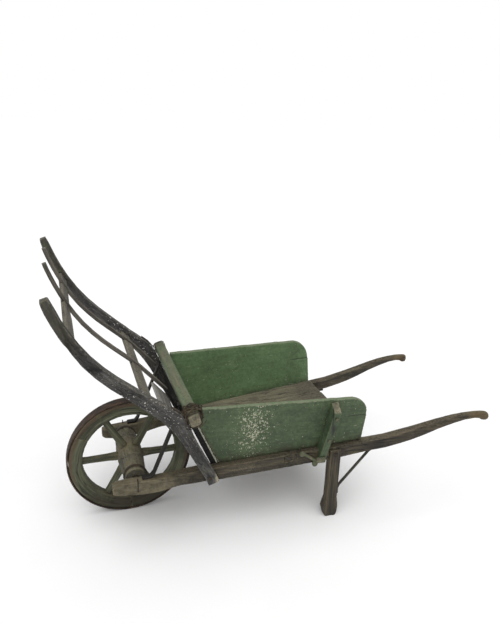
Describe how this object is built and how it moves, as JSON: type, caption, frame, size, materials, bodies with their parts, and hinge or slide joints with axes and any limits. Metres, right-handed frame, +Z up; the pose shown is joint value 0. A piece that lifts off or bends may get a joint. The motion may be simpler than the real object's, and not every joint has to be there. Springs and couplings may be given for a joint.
{
  "type": "wheelbarrow",
  "caption": "Wooden farm wheelbarrow: spoked iron-tyred wheel, long curved handles, green box open at the back with lift-out sides, and a tall curved rack leaning over the wheel.",
  "frame": {"origin": "on the ground, under the middle of the overall box", "axes": "+X from the wheel towards the handles, +Y towards the pusher's right, +Z up"},
  "size_m": [1.8808, 0.926, 1.1213],
  "materials": {
    "weathered_wood": "bare hardwood, weathered brown, dry and split",
    "grey_wood": "dark grey weathered wood",
    "dark_wood": "wood gone nearly black with damp",
    "pale_wood": "sun-bleached grey wood",
    "green_paint": "old green paint on wood, chipped and worn",
    "rim_wood": "traces of green paint worn down to brown wood",
    "nave_wood": "turned wood, mossy and weathered",
    "floor_wood": "bare boards, scuffed and dirty",
    "rusty_iron": "wrought iron with an even brown rust"
  },
  "bodies": {
    "frame": {"shaft_left": "weathered_wood", "shaft_right": "weathered_wood", "axle_keeper_left": "rusty_iron", "axle_keeper_right": "rusty_iron", "leg_left": "weathered_wood", "leg_right": "weathered_wood", "leg_bolt_left": "rusty_iron", "leg_bolt_right": "rusty_iron", "leg_stay_left": "rusty_iron", "leg_stay_right": "rusty_iron", "cross_member_front": "weathered_wood", "cross_member_middle": "weathered_wood", "cross_member_rear": "weathered_wood", "rack_rail_left": "grey_wood", "rack_rail_right": "grey_wood", "rail_bolt_left": "rusty_iron", "rail_bolt_right": "rusty_iron", "rack_brace_left": "rusty_iron", "rack_brace_right": "rusty_iron", "rack_lath_middle": "grey_wood", "rack_lath_right": "grey_wood", "rack_rung_upper": "pale_wood", "rack_rung_lower": "pale_wood", "rack_short_board": "pale_wood", "crossbar": "green_paint", "crossbar_band_left": "rusty_iron", "crossbar_band_right": "rusty_iron", "front_board_lower": "dark_wood", "front_board_upper": "dark_wood", "floor_board_1": "floor_wood", "floor_board_2": "floor_wood", "floor_board_3": "floor_wood", "floor_board_4": "floor_wood", "stake_bracket_left": "rusty_iron", "stake_bracket_right": "rusty_iron"},
    "wheel": {"hub": "nave_wood", "spoke_1": "rim_wood", "spoke_2": "rim_wood", "spoke_3": "rim_wood", "spoke_4": "rim_wood", "spoke_5": "rim_wood", "spoke_6": "rim_wood", "felloe_1": "rim_wood", "felloe_2": "rim_wood", "felloe_3": "rim_wood", "tyre": "rusty_iron", "axle": "rusty_iron", "hub_band_left": "rusty_iron", "hub_band_right": "rusty_iron"},
    "side_left": {"panel_upper_left": "green_paint", "panel_lower_left": "green_paint", "stake_left": "green_paint", "stake_bolt_upper_left": "rusty_iron", "stake_bolt_lower_left": "rusty_iron"},
    "side_right": {"panel_upper_right": "green_paint", "panel_lower_right": "green_paint", "stake_right": "green_paint", "stake_bolt_upper_right": "rusty_iron", "stake_bolt_lower_right": "rusty_iron"}
  },
  "joints": [
    {"name": "wheel_spin", "type": "hinge", "parent": "frame", "child": "wheel", "pos_m": [-0.6286, 0, 0.26], "axis": [0, 1, 0], "continuous": true},
    {"name": "side_left_lift", "type": "slide", "parent": "frame", "child": "side_left", "axis": [0.1186, -0.2026, 0.9721], "range_m": [0, 0.12]},
    {"name": "side_right_lift", "type": "slide", "parent": "frame", "child": "side_right", "axis": [0.1186, 0.2026, 0.9721], "range_m": [0, 0.12]}
  ]
}
